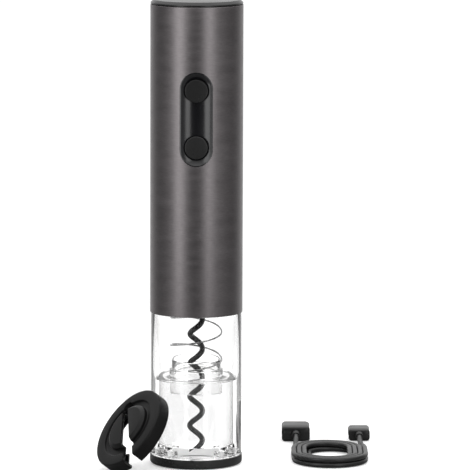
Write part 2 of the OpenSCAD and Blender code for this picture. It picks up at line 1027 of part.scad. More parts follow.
module cutter_screws() {
    color([0.7, 0.7, 0.72])
        place_cutter()
            for (a = cutter_screw_angles)
                rotate([0, 0, a])
                    translate([17.2, 0, 0]) {
                        rod(0.69, 1.2 - eps, 4.4);
                        rod(1.4, 0.5, 1.2);
                    }
}

// A sharp-edged cutting wheel on its pin.
module cutter_wheel(i) {
    mid = 3.5;
    color([0.85, 0.85, 0.87])
        place_cutter()
            at_wheel(wheel_angles[i])
                rotate_extrude()
                    polygon([
                        [0.84, mid - 1.1], [1.6, mid - 1.1], [1.6, mid - 0.4], [3.4, mid - 0.25],
                        [4.2, mid], [3.4, mid + 0.25], [1.6, mid + 0.4], [1.6, mid + 1.1],
                        [0.84, mid + 1.1]
                    ]);
}

// ---------------------------------------------------------------- charging cable

// A plug's moulded grip with the round relief that the cord comes out of.
module plug_grip(w, h, l, relief_l) {
    rotate([-90, 0, 0]) {
        cylinder(h = relief_l + 0.5, r1 = cord_d / 2 + 0.5, r2 = cord_d / 2 + 1);
        translate([0, 0, relief_l])
            linear_extrude(l)
                rounded_rect(w, h, 1.6);
    }
}

module usb_a_grip() {
    color([0.08, 0.08, 0.09])
        translate([usb_a_x, usb_a_y, usb_a_z])
            plug_grip(15, 8, 17, 4.5);
}

module usb_a_shell() {
    y0 = 21.5;
    color([0.8, 0.81, 0.83])
        translate([usb_a_x, usb_a_y + y0, usb_a_z])
            rotate([-90, 0, 0]) {
                difference() {
                    linear_extrude(12)
                        rounded_rect(12, 4.5, 0.5);
                    translate([0, 0, 1])
                        linear_extrude(12)
                            rounded_rect(11.4, 3.9, 0.3);
                    for (x = [-1, 1])
                        translate([x * 3 - 1, -3, 6.5])
                            cube([2, 6, 2]);
                }
                translate([-5.6, -0.1, 1])
                    cube([11.2, 1.9, 10.4]);
            }
}

module usb_c_grip() {
    color([0.08, 0.08, 0.09])
        translate([usb_c_x, usb_c_y, usb_c_z])
            plug_grip(11.4, 6.2, 14.5, 4);
}

module usb_c_shell() {
    y0 = 18.5;
    color([0.8, 0.81, 0.83])
        translate([usb_c_x, usb_c_y + y0, usb_c_z])
            rotate([-90, 0, 0])
                difference() {
                    linear_extrude(6.6)
                        rounded_rect(8.3, 2.5, 1.2);
                    translate([0, 0, 1])
                        linear_extrude(6.6)
                            rounded_rect(7.3, 1.5, 0.7);
                }
}

module cable_lead_a() {
    color([0.09, 0.09, 0.1])
        tube(lead_a_route, [for (p = lead_a_route) cord_d / 2], 8);
}

module cable_lead_c() {
    color([0.09, 0.09, 0.1])
        tube(lead_c_route, [for (p = lead_c_route) cord_d / 2], 8);
}

module cable_coil() {
    color([0.09, 0.09, 0.1])
        translate([coil_x, coil_y, 0])
            linear_extrude(coil_h)
                difference() {
                    obround(coil_w, coil_l);
                    obround(coil_gap_w, coil_gap_l);
                }
}

// ---------------------------------------------------------------- sub-parts

outer_sleeve();
top_cap();
button_bezel();
up_button();
down_button();
chassis_front();
chassis_rear();
chassis_screws();
clear_housing();
base_ring();
bottle_guide();
guide_spring();
worm();
worm_chuck();
bulkhead();
spindle_bush();
output_carrier();
output_pins();
output_planet(0);  // output_planet_1
output_planet(1);  // output_planet_2
output_planet(2);  // output_planet_3
ring_gear();
input_carrier();
input_pins();
input_planet(0);  // input_planet_1
input_planet(1);  // input_planet_2
input_planet(2);  // input_planet_3
gearbox_plate();
gearbox_screws();
motor_can();
motor_cap();
motor_bushes();
motor_magnets();
motor_shaft();
motor_pinion();
armature();
battery_cell();
battery_tabs();
control_board();
board_chips();
tact_switches();
charge_board();
usb_socket();
wiring();
cutter_body();
cutter_plate();
cutter_pins();
cutter_screws();
cutter_wheel(0);  // cutter_wheel_1
cutter_wheel(1);  // cutter_wheel_2
cutter_wheel(2);  // cutter_wheel_3
cutter_wheel(3);  // cutter_wheel_4
usb_a_grip();
usb_a_shell();
usb_c_grip();
usb_c_shell();
cable_lead_a();
cable_lead_c();
cable_coil();
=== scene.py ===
"""Looks of the electric wine opener, its foil cutter and its charging cable.

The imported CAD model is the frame. Shapes are worked out in millimetres and scaled to metres by
MM as they are made. Places come from the CAD nodes' boxes wherever a box gives them.
"""

import math

import bmesh
import bpy
from mathutils import Matrix, Vector


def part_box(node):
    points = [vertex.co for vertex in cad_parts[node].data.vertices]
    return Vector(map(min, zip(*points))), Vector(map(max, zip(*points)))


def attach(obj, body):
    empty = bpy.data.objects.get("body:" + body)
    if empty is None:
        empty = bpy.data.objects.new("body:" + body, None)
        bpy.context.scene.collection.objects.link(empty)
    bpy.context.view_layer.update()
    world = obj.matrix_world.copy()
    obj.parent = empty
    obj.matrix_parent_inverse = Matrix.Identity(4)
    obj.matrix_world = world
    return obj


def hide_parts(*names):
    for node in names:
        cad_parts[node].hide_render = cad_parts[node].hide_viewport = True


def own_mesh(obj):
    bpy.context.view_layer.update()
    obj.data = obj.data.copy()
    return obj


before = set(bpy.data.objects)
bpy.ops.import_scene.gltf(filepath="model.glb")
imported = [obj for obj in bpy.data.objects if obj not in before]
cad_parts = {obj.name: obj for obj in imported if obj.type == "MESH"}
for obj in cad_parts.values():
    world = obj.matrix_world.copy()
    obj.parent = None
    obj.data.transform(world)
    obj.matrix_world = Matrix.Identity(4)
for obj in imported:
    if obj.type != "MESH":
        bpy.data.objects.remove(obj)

MM = 0.001
TURN = 2 * math.pi
# Edges that turn by more than this many degrees stay sharp in the shading.
SHARP_ABOVE = 32
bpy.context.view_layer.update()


def box_mm(node):
    """Lowest and highest corner of a CAD node, in millimetres."""
    low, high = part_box(node)
    return low / MM, high / MM


# ---------------------------------------------------------------- camera


def make_camera():
    """The photograph's viewpoint: a long lens from the front, a little above the object."""
    roll = 0.0035
    place = Vector((0.020, -2.206, 0.4162))
    aim = Vector((0.020, 0, 0.1195))
    data = bpy.data.cameras.new("camera")
    data.sensor_width = 36
    data.lens = 328.7
    data.clip_start = 0.05
    data.clip_end = 30
    camera = bpy.data.objects.new("camera", data)
    camera.location = place
    facing = (aim - place).to_track_quat("-Z", "Y").to_matrix()
    camera.rotation_euler = (facing @ Matrix.Rotation(roll, 3, "Z")).to_euler()
    bpy.context.scene.collection.objects.link(camera)
    bpy.context.scene.camera = camera


# ---------------------------------------------------------------- materials


def feed(tree, socket, value):
    """Links an input to another node's output, or sets it to a constant."""
    if isinstance(value, bpy.types.NodeSocket):
        tree.links.new(value, socket)
    else:
        socket.default_value = value


def add_node(tree, kind, settings=None, **inputs):
    """A node with its settings, and inputs given as constants or as sockets to link."""
    node = tree.nodes.new(kind)
    for key, value in (settings or {}).items():
        setattr(node, key, value)
    for key, value in inputs.items():
        feed(tree, node.inputs[key.replace("_", " ")], value)
    return node


def calculate(tree, operation, *values):
    """The result of a math node on one to three values."""
    node = add_node(tree, "ShaderNodeMath", {"operation": operation})
    for socket, value in zip(node.inputs, values):
        feed(tree, socket, value)
    return node.outputs["Value"]


def mix_shaders(tree, factor, first, second):
    """The first shader where factor is 0 and the second where it is 1."""
    node = add_node(tree, "ShaderNodeMixShader", Fac=factor)
    feed(tree, node.inputs[1], first)
    feed(tree, node.inputs[2], second)
    return node.outputs["Shader"]


def light_path(tree, quality):
    """What kind of ray, or how long a path, the shader is being asked about."""
    return add_node(tree, "ShaderNodeLightPath").outputs[quality]


def first_node(tree, kind):
    return next(node for node in tree.nodes if node.type == kind)


def grey(value):
    return (value, value, value, 1)


def noise(tree, scale, stretch=(1, 1, 1), detail=4.0, rough=0.55):
    """A noise pattern fixed to the piece, finer along an axis with more stretch."""
    where = add_node(tree, "ShaderNodeTexCoord")
    spread = add_node(tree, "ShaderNodeMapping", Vector=where.outputs["Object"], Scale=stretch)
    texture = add_node(
        tree, "ShaderNodeTexNoise", Vector=spread.outputs["Vector"],
        Scale=scale, Detail=detail, Roughness=rough,
    )
    return texture.outputs["Fac"]


def between(tree, factor, low, high, start=0.3, end=0.7):
    """A value that runs from low to high as factor runs from start to end."""
    mapped = add_node(
        tree, "ShaderNodeMapRange", Value=factor,
        From_Min=start, From_Max=end, To_Min=low, To_Max=high,
    )
    return mapped.outputs["Result"]


def blend_colours(tree, factor, first, second, start=0.3, end=0.7):
    ramp = add_node(tree, "ShaderNodeValToRGB", Fac=factor)
    ramp.color_ramp.elements[0].position = start
    ramp.color_ramp.elements[0].color = first
    ramp.color_ramp.elements[1].position = end
    ramp.color_ramp.elements[1].color = second
    return ramp.outputs["Color"]


def surface(
    name, first, second, gloss, patch=60, grain=1500, stretch=(1, 1, 1), relief=0.05,
    depth=0.00005, **shader
):
    """A surface whose colour and roughness drift in patches, with a fine grain in relief.

    first and second are its two shades, gloss its lowest and highest roughness, patch and grain
    the patterns' scales per metre, and shader whatever is the same all over.
    """
    material = bpy.data.materials.new(name)
    material.use_nodes = True
    tree = material.node_tree
    tree.nodes.clear()
    patches = noise(tree, patch, stretch)
    grains = noise(tree, grain, stretch, detail=3.0)
    both = calculate(tree, "MULTIPLY_ADD", patches, 0.5, calculate(tree, "MULTIPLY", grains, 0.5))
    bump = add_node(tree, "ShaderNodeBump", Height=grains, Strength=relief, Distance=depth)
    principled = add_node(
        tree, "ShaderNodeBsdfPrincipled",
        Base_Color=blend_colours(tree, both, first, second),
        Roughness=between(tree, patches, gloss[0], gloss[1]),
        Normal=bump.outputs["Normal"], **shader,
    )
    add_node(tree, "ShaderNodeOutputMaterial", Surface=principled.outputs["BSDF"])
    return material


def pass_shadow_rays(material):
    """Lets light through a clear plastic, which would otherwise cast a dark shadow."""
    tree = material.node_tree
    plastic = first_node(tree, "BSDF_PRINCIPLED").outputs["BSDF"]
    veil = add_node(tree, "ShaderNodeBsdfTransparent", Color=grey(0.9)).outputs["BSDF"]
    shown = mix_shaders(tree, light_path(tree, "Is Shadow Ray"), plastic, veil)
    feed(tree, first_node(tree, "OUTPUT_MATERIAL").inputs["Surface"], shown)


def make_materials():
    """One material for each of the record's material slots."""
    made = {}

    def add(name, *settings, **more):
        made[name] = surface(name, *settings, **more)

    add("gunmetal", (0.150, 0.139, 0.142, 1), (0.205, 0.191, 0.195, 1), (0.36, 0.44), patch=45,
        grain=420, stretch=(1, 1, 5), relief=0.16, Metallic=1.0)
    add("satin_black_plastic", grey(0.013), grey(0.018), (0.24, 0.32), relief=0.05,
        Specular_IOR_Level=0.4)
    add("gloss_black_plastic", (0.0035, 0.0035, 0.0045, 1), (0.006, 0.006, 0.0075, 1),
        (0.17, 0.23), relief=0.01, grain=900)
    add("matte_black_plastic", grey(0.004), grey(0.007), (0.30, 0.40), relief=0.12, grain=2600,
        Specular_IOR_Level=0.12)
    add("dark_plastic", grey(0.030), grey(0.045), (0.42, 0.55), relief=0.08)
    add("white_plastic", grey(0.82), grey(0.88), (0.35, 0.45), relief=0.05)
    add("clear_plastic", grey(0.985), grey(1.0), (0.0, 0.012), relief=0.01, depth=0.00002,
        patch=30, grain=160, Transmission_Weight=1.0, IOR=1.49)
    pass_shadow_rays(made["clear_plastic"])
    add("black_coated_steel", grey(0.003), grey(0.006), (0.20, 0.30), relief=0.04, patch=150,
        Specular_IOR_Level=0.25)
    add("spring_steel", grey(0.20), grey(0.30), (0.22, 0.32), Metallic=1.0, patch=200)
    add("zinc_steel", grey(0.52), grey(0.64), (0.24, 0.36), Metallic=1.0, patch=180)
    add("sintered_steel", grey(0.26), grey(0.38), (0.42, 0.55), relief=0.2, Metallic=1.0)
    add("cutter_steel", grey(0.55), grey(0.66), (0.16, 0.26), Metallic=1.0, patch=300)
    add("bronze", (0.42, 0.25, 0.11, 1), (0.55, 0.35, 0.17, 1), (0.34, 0.5), relief=0.2,
        Metallic=1.0)
    add("brass", (0.66, 0.46, 0.18, 1), (0.76, 0.56, 0.25, 1), (0.22, 0.34), Metallic=1.0)
    add("magnet", grey(0.04), grey(0.065), (0.45, 0.6), relief=0.15)
    add("armature_copper", (0.50, 0.20, 0.09, 1), (0.72, 0.33, 0.16, 1), (0.28, 0.42),
        stretch=(1, 1, 0.25), grain=2400, relief=0.5, Metallic=1.0)
    add("battery_wrap", (0.02, 0.09, 0.26, 1), (0.03, 0.13, 0.34, 1), (0.18, 0.28))
    add("nickel", (0.60, 0.59, 0.57, 1), (0.70, 0.69, 0.67, 1), (0.16, 0.26), Metallic=1.0,
        patch=250)
    add("board_green", (0.010, 0.10, 0.035, 1), (0.018, 0.16, 0.06, 1), (0.22, 0.34), patch=420)
    add("wire_insulation", (0.42, 0.02, 0.015, 1), (0.55, 0.035, 0.02, 1), (0.3, 0.42))
    add("cable_black", grey(0.008), grey(0.013), (0.30, 0.40), relief=0.08, grain=2200,
        Specular_IOR_Level=0.35)
    return made


def finish_cad_nodes(materials):
    """Gives each carried-over CAD node its slot's material, and drops the plain imported ones."""
    plain = set()
    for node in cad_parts.values():
        for place in node.material_slots:
            plain.add(place.material)
            place.material = materials[place.material.name.split(".")[0]]
    for material in plain:
        bpy.data.materials.remove(material)


# ---------------------------------------------------------------- shapes


def rounded(corners, steps=4):
    """A closed outline from (a, b, radius) corners, each rounded to its radius."""
    outline = []
    for i, (a, b, radius) in enumerate(corners):
        here = Vector((a, b))
        if radius == 0:
            outline.append(here)
            continue
        before = (Vector(corners[i - 1][:2]) - here).normalized()
        after = (Vector(corners[(i + 1) % len(corners)][:2]) - here).normalized()
        half = before.angle(after) / 2
        middle = here + (before + after).normalized() * (radius / math.sin(half))
        start = here + before * (radius / math.tan(half)) - middle
        end = here + after * (radius / math.tan(half)) - middle
        for k in range(steps + 1):
            outline.append(middle + start.slerp(end, k / steps).normalized() * radius)
    return outline


def revolve(outline, segments=192):
    """A closed (r, z) outline turned about Z."""
    mesh = bmesh.new()
    rings = []
    for point in outline:
        if abs(point.x) < 1e-6:
            rings.append([mesh.verts.new((0, 0, point.y))] * segments)
        else:
            rings.append([
                mesh.verts.new((
                    point.x * math.cos(TURN * k / segments),
                    point.x * math.sin(TURN * k / segments),
                    point.y,
                ))
                for k in range(segments)
            ])
    for i, ring in enumerate(rings):
        previous = rings[i - 1]
        if ring[0] is ring[1] and previous[0] is previous[1]:
            continue
        for k in range(segments):
            n = (k + 1) % segments
            corners = [previous[k], previous[n], ring[n], ring[k]]
            mesh.faces.new(list(dict.fromkeys(corners)))
    return mesh


def loft(loops):
    """A closed solid through loops of the same number of points."""
    mesh = bmesh.new()
    rings = [[mesh.verts.new(point) for point in loop] for loop in loops]
    count = len(rings[0])
    for first, second in zip(rings, rings[1:]):
        for k in range(count):
            n = (k + 1) % count
            mesh.faces.new((first[k], first[n], second[n], second[k]))
    mesh.faces.new(rings[0][::-1])
    mesh.faces.new(rings[-1])
    return mesh


def sweep(path, radii, sides):
    """A round wire along a path that is never vertical."""
    loops = []
    for i, point in enumerate(path):
        ahead = (path[min(i + 1, len(path) - 1)] - path[max(i - 1, 0)]).normalized()
        side = ahead.cross(Vector((0, 0, 1))).normalized()
        up = side.cross(ahead)
        loops.append([
            point + radii[i] * (math.cos(TURN * k / sides) * side + math.sin(TURN * k / sides) * up)
            for k in range(sides)
        ])
    return loft(loops)


def helix(radius, pitch, z_at_x, start, end, steps):
    """Points of a right-handed helix about Z that passes +X at height z_at_x. Angles in turns."""
    points = []
    for i in range(steps + 1):
        turns = start + (end - start) * i / steps
        angle = TURN * turns
        points.append(Vector((
            radius * math.cos(angle), radius * math.sin(angle), z_at_x + pitch * turns,
        )))
    return points


def obround(width, length, steps=24):
    """A flat outline with round ends, long side along the second axis."""
    outline = []
    for end in (1, -1):
        for k in range(steps + 1):
            angle = math.pi * k / steps
            outline.append(Vector((
                end * width / 2 * math.cos(angle),
                end * ((length - width) / 2 + width / 2 * math.sin(angle)),
            )))
    return outline


def rounded_rect(width, height, radius, steps=6):
    """A rectangle's outline with round corners."""
    outline = []
    for k, (side, top) in enumerate(((1, 1), (-1, 1), (-1, -1), (1, -1))):
        for i in range(steps + 1):
            angle = TURN / 4 * (k + i / steps)
            outline.append(Vector((
                side * (width / 2 - radius) + radius * math.cos(angle),
                top * (height / 2 - radius) + radius * math.sin(angle),
            )))
    return outline


def new_mesh(name, shape, sharp_above=SHARP_ABOVE):
    """An object from a shape in millimetres, smooth except across edges sharper than an angle."""
    bmesh.ops.recalc_face_normals(shape, faces=shape.faces)
    bmesh.ops.scale(shape, vec=(MM, MM, MM), verts=shape.verts)
    mesh = bpy.data.meshes.new(name)
    shape.to_mesh(mesh)
    shape.free()
    piece = bpy.data.objects.new(name, mesh)
    bpy.context.scene.collection.objects.link(piece)
    shade(piece, sharp_above)
    return piece


def shade(piece, sharp_above=SHARP_ABOVE):
    """Smooth faces, split along the edges that are sharper than an angle in degrees."""
    shape = bmesh.new()
    shape.from_mesh(piece.data)
    for face in shape.faces:
        face.smooth = True
    for edge in shape.edges:
        edge.smooth = edge.calc_face_angle(0) < math.radians(sharp_above)
    shape.to_mesh(piece.data)
    shape.free()


def apply_modifiers(piece):
    graph = bpy.context.evaluated_depsgraph_get()
    mesh = bpy.data.meshes.new_from_object(piece.evaluated_get(graph))
    piece.modifiers.clear()
    old = piece.data
    piece.data = mesh
    bpy.data.meshes.remove(old)
    mesh.name = piece.name


def combine(piece, tools, operation):
    """Joins the tools to the piece (UNION) or cuts them out of it (DIFFERENCE)."""
    for tool in tools:
        step = piece.modifiers.new("step", "BOOLEAN")
        step.operation = operation
        step.solver = "EXACT"
        step.object = tool
    apply_modifiers(piece)
    for tool in tools:
        bpy.data.objects.remove(tool)
    shade(piece)


def soften(piece, edge):
    """Rounds the piece's sharp edges by edge millimetres."""
    bevel = piece.modifiers.new("bevel", "BEVEL")
    bevel.width = edge * MM
    bevel.segments = 3
    bevel.limit_method = "ANGLE"
    bevel.angle_limit = math.radians(SHARP_ABOVE)
    bevel.use_clamp_overlap = True
    apply_modifiers(piece)
    shade(piece)


def wear(piece, body, slot, *nodes):
    """Paints a new piece, fixes it to a body and lets it stand for CAD nodes."""
    piece.data.materials.clear()
    piece.data.materials.append(materials[slot])
    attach(piece, body)
    if nodes:
        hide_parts(*nodes)
    return piece


# ---------------------------------------------------------------- charging cable

CORD_D = 2.7
# Each of the coil's two layers steps across by this many turns.
COIL_TURNS = 3
# The straight stretches of the coil run this far either side of its middle.
COIL_STRAIGHT = 8.0
# The leads join the coil this far above its middle.
COIL_JOIN = 4.0
# The leads' routes from their plugs to the coil, the same as in the CAD source.
LEAD_A = (
    (51.3, 14, 1.35), (51.3, 18, 1.35), (51.4, 23, 1.35), (51.7, 28, 1.35), (52, 33, 1.4),
    (52.4, 38, 1.6), (52.7, 43, 2.3), (52.9, 48, 3.3), (53, 51, 3.8), (53, 54, 4),
)
LEAD_C = (
    (88.7, 14, 4), (88.7, 18, 4), (88.6, 23, 3.8), (88.4, 28, 3.2), (88.1, 33, 2.5),
    (87.8, 38, 1.8), (87.5, 43, 1.5), (87.2, 48, 1.9), (87, 53, 2.7), (87, 57, 3.1),
)


def half_turn(side, r0, r1, z0, z1, steps=14):
    """Half of a turn round the coil, anticlockwise: side 1 is the near half, -1 the far half."""
    straight = COIL_STRAIGHT + side * COIL_JOIN
    points = []
    for i in range(steps):
        t = i / steps
        eased = t * t * (3 - 2 * t)
        r = r0 + (r1 - r0) * eased
        z = z0 + (z1 - z0) * eased
        run = t * (2 * straight + math.pi * r)
        if run < straight:
            x, y = -r, side * COIL_JOIN - run
        elif run < straight + math.pi * r:
            angle = math.pi + (run - straight) / r
            x, y = r * math.cos(angle), -COIL_STRAIGHT + r * math.sin(angle)
        else:
            x, y = r, -COIL_STRAIGHT + run - straight - math.pi * r
        points.append((side * x, side * y, z))
    return points


def coil_points():
    """The coil from its lower outer turn to its upper outer turn, about its own middle."""
    low, high = box_mm("cable_coil")
    outer = (high.x - low.x - CORD_D) / 2
    inner = outer - COIL_TURNS * CORD_D
    floor_z, top_z = CORD_D / 2, CORD_D * 3 / 2
    points = []
    for k in range(COIL_TURNS):
        r = outer - k * CORD_D
        points += half_turn(1, r, r, floor_z, floor_z)
        points += half_turn(-1, r, r - CORD_D, floor_z, floor_z)
    points += half_turn(1, inner, inner, floor_z, top_z)
    for k in range(COIL_TURNS):
        r = inner + k * CORD_D
        points += half_turn(-1, r, r + CORD_D, top_z, top_z)
        points += half_turn(1, r + CORD_D, r + CORD_D, top_z, top_z)
    middle_x, middle_y = (low.x + high.x) / 2, (low.y + high.y) / 2
    return [(x + middle_x, y + middle_y, z) for x, y, z in points]


def make_cord():
    """The whole cord from the USB-C plug to the USB-A plug."""
    route = list(LEAD_C[::-1]) + coil_points()[:0:-1] + list(LEAD_A)
    curve = bpy.data.curves.new("charging_cord", "CURVE")
    curve.dimensions = "3D"
    curve.bevel_depth = CORD_D / 2 * MM
    curve.bevel_resolution = 5
    curve.resolution_u = 4
    curve.use_fill_caps = True
    spline = curve.splines.new("BEZIER")
    spline.bezier_points.add(len(route) - 1)
    for knot, point in zip(spline.bezier_points, route):
        knot.co = Vector(point) * MM
        knot.handle_left_type = "AUTO"
        knot.handle_right_type = "AUTO"
    cord = bpy.data.objects.new("charging_cord", curve)
    bpy.context.scene.collection.objects.link(cord)
    return wear(cord, "charging_cable", "cable_black", "cable_lead_a", "cable_lead_c", "cable_coil")


def make_grip(name, node, sections):
    """A moulded plug grip: a ribbed round relief that opens into a rounded bar along Y.

    sections are (y from the cord's end, width, height, corner radius).
    """
    low, high = box_mm(node)
    middle = Vector(((low.x + high.x) / 2, low.y, (low.z + high.z) / 2))
    loops = [
        [middle + Vector((p.x, y, p.y)) for p in rounded_rect(w, h, r)]
        for y, w, h, r in sections
    ]
    return new_mesh(name, loft(loops), sharp_above=40)


def relief_sections(length, small, large, ribs=3):
    """A tapered round relief with shallow ribs."""
    sections = []
    for k in range(ribs):
        start = length * k / ribs
        size = small + (large - small) * k / ribs
        sections += [
            (start, size, size, size / 2 - 0.001),
            (start + length / ribs * 0.25, size + 0.5, size + 0.5, size / 2 + 0.249),
            (start + length / ribs * 0.75, size + 0.5, size + 0.5, size / 2 + 0.249),
            (start + length / ribs * 0.96, size + 0.1, size + 0.1, size / 2 + 0.049),
        ]
    return sections


def grip_sections(start, length, width, height, corner):
    """A bar with soft ends and a shallow waist."""
    soft = 0.9
    return [
        (start, width - 2 * soft, height - 2 * soft, corner - soft / 2),
        (start + soft * 0.3, width - 0.8, height - 0.8, corner - 0.2),
        (start + soft, width, height, corner),
        (start + length * 0.5, width - 0.3, height - 0.3, corner),
        (start + length - 0.5, width, height, corner),
        (start + length - 0.15, width - 0.3, height - 0.3, corner - 0.1),
        (start + length, width - 0.8, height - 0.8, corner - 0.3),
    ]


def make_plugs():
    for letter, relief, length, width, height in (("a", 4.5, 17, 15, 8), ("c", 4, 14.5, 11.4, 6.2)):
        node = f"usb_{letter}_grip"
        sections = relief_sections(relief, CORD_D + 0.9, CORD_D + 1.6)
        sections += grip_sections(relief, length, width, height, 1.7)
        grip = make_grip(f"usb_{letter}_boot", node, sections)
        wear(grip, "charging_cable", "cable_black", node)


# ---------------------------------------------------------------- opener

CHARGING_PORT_Z = 224.2


def prism_through(outline, low_y, high_y, z):
    """An outline in XZ about height z, run from low_y to high_y along Y."""
    return loft([[(p.x, y, z + p.y) for p in outline] for y in (low_y, high_y)])


def make_sleeve():
    low, high = box_mm("outer_sleeve")
    panel_low, panel_high = box_mm("button_bezel")
    wall = 0.9
    r = high.x
    sleeve = new_mesh("sleeve", revolve(rounded([
        (r, low.z, 0.3), (r, high.z, 0.3), (r - wall, high.z, 0.1), (r - wall, low.z, 0.1),
    ]), 256))
    panel_z = (panel_low.z + panel_high.z) / 2
    window = new_mesh("window", prism_through(obround(17.1, 48.6), -r - 1, 0, panel_z))
    port_outline = [Vector((p.y, p.x)) for p in obround(3.9, 9.6)]
    port = new_mesh("port", prism_through(port_outline, 0, r + 1, CHARGING_PORT_Z))
    combine(sleeve, [window, port], "DIFFERENCE")
    return wear(sleeve, "housing", "gunmetal", "outer_sleeve")


def make_cap():
    low, high = box_mm("top_cap")
    r = high.x
    rim_z = high.z - 2.05
    under_z = high.z - 1.9
    chamfer = 1.5
    skirt_out = r - 0.9
    skirt_in = skirt_out - 1.6
    cap = new_mesh("cap", revolve(rounded([
        (0, under_z, 0), (skirt_in, under_z, 0.3), (skirt_in, low.z, 0.2),
        (skirt_out, low.z, 0.2), (skirt_out, rim_z, 0.1), (r, rim_z, 0.15),
        (r, high.z - chamfer, 0.6), (r - chamfer, high.z - 0.04, 0.35), (0, high.z, 0),
    ]), 256))
    return wear(cap, "housing", "satin_black_plastic", "top_cap")


def make_buttons():
    """Each button is turned about Z from its stem to its face, then tipped to face -Y."""
    for button in ("up_button", "down_button"):
        low, high = box_mm(button)
        face, back = -low.y, -high.y
        flange_back, flange_front = 17.3, 18.5
        stem_r, r = 2, 5.9
        flange_r = r + 0.9
        shape = revolve(rounded([
            (0, back, 0), (stem_r, back, 0.1), (stem_r, flange_back, 0.1),
            (flange_r, flange_back, 0.1), (flange_r, flange_front, 0.1), (r, flange_front, 0.1),
            (r, face - 0.02, 0.35), (0, face, 0),
        ]), 96)
        bmesh.ops.rotate(shape, verts=shape.verts, matrix=Matrix.Rotation(TURN / 4, 3, "X"))
        bmesh.ops.translate(shape, verts=shape.verts, vec=(0, 0, (low.z + high.z) / 2))
        wear(new_mesh(f"{button}_top", shape), button, "satin_black_plastic", button)


def make_base_ring():
    """The foot ring, with a shallow step on top that holds the bottle seat."""
    low, high = box_mm("base_ring")
    bore_r = 16.8
    r = high.x
    seat_r, seat_z = r - 0.9, high.z - 0.35
    ring = new_mesh("foot_ring", revolve(rounded([
        (bore_r, low.z, 0.4), (r, low.z, 1.5), (r, high.z, 0.15), (seat_r, high.z, 0.1),
        (seat_r, seat_z, 0.05), (bore_r, seat_z, 0.1),
    ], 10), 256))
    return wear(ring, "housing", "satin_black_plastic", "base_ring")


def make_bottle_seat():
    """The pale seat that lines the foot ring's bore and backs the clear housing's floor."""
    low, high = box_mm("base_ring")
    bore_r, liner_r, flange_r = 16.0, 16.75, high.x - 0.95
    foot_z, flange_z, top_z = low.z + 0.4, high.z - 0.32, high.z - 0.03
    seat = new_mesh("bottle_seat", revolve(rounded([
        (bore_r, foot_z, 0.3), (liner_r, foot_z, 0.1), (liner_r, flange_z, 0.05),
        (flange_r, flange_z, 0.05), (flange_r, top_z, 0.05), (bore_r, top_z, 0.3),
    ])))
    return wear(seat, "housing", "white_plastic")


def make_lugs(inner_r, outer_r, floor_z):
    """Eight locking lugs that stand on the clear housing's floor, against its wall."""
    top_z = floor_z + 2.8
    half_width = 2.5
    sunk = 0.4
    lugs = []
    for k, angle in enumerate((20, 50, 130, 160, 200, 230, 310, 340)):
        outline = rounded([
            (inner_r, floor_z - sunk, 0), (outer_r + sunk, floor_z - sunk, 0),
            (outer_r + sunk, top_z, 0), (inner_r, top_z, 0.7),
        ])
        lug = loft([[(p.x, y, p.y) for p in outline] for y in (-half_width, half_width)])
        turned = Matrix.Rotation(math.radians(angle), 3, "Z")
        bmesh.ops.rotate(lug, verts=lug.verts, matrix=turned)
        lugs.append(new_mesh(f"lug_{k}", lug))
        soften(lugs[-1], 0.35)
    return lugs


def make_clear_housing():
    low, high = box_mm("clear_housing")
    floor_z = low.z + 0.8
    r = high.x
    inner_r = r - 2
    spigot_r = r - 0.45
    bore_r = 16.2
    sleeve_z = box_mm("outer_sleeve")[0].z
    shell = new_mesh("clear_shell", revolve(rounded([
        (bore_r, low.z, 0.3), (r, low.z, 0.2), (r, sleeve_z, 0.1), (spigot_r, sleeve_z, 0.05),
        (spigot_r, high.z, 0.3), (inner_r, high.z, 0.3), (inner_r, floor_z, 0.8),
        (bore_r, floor_z, 0.3),
    ], 6), 256))
    combine(shell, make_lugs(bore_r + 0.8, inner_r, floor_z), "UNION")
    return wear(shell, "housing", "clear_plastic", "clear_housing")


def make_guide():
    """The bottle guide: a collar and bead on a disc, with a lip and a skirt hanging from it."""
    low, high = box_mm("bottle_guide")
    disc_z = high.z - 9.2
    disc_top = disc_z + 1
    bead_z = high.z - 4.6
    lip_z = disc_z - 6.8
    bore_r, lip_r, bead_r, collar_r = 12.0, 13.3, 14.0, 12.8
    skirt_in, skirt_out = 17.7, 19.5
    disc_r = high.x
    guide = new_mesh("neck_guide", revolve(rounded([
        (bore_r, lip_z, 0.3), (lip_r, lip_z, 0.5), (lip_r, disc_z, 0.3),
        (skirt_in, disc_z, 0.3), (skirt_in, low.z, 0.5), (skirt_out, low.z, 0.4),
        (skirt_out, disc_z, 0.3), (disc_r, disc_z, 0.45), (disc_r, disc_top, 0.45),
        (bead_r, disc_top, 0.4), (bead_r, bead_z, 0.6), (collar_r, bead_z, 0.3),
        (collar_r, high.z, 0.4), (bore_r, high.z, 0.35),
    ], 5), 256))
    return wear(guide, "guide", "clear_plastic", "bottle_guide")


def make_spring():
    low, high = box_mm("guide_spring")
    wire_r = 0.4
    pitch = 14.1
    passes_x_at = 67.9
    start = (low.z + wire_r - passes_x_at) / pitch
    end = (high.z - wire_r - passes_x_at) / pitch
    steps = 160
    path = helix(high.x - wire_r, pitch, passes_x_at, start, end, steps)
    spring = new_mesh("return_spring", sweep(path, [wire_r] * len(path), 10), sharp_above=60)
    wear(spring, "housing", "spring_steel", "guide_spring")
    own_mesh(spring)


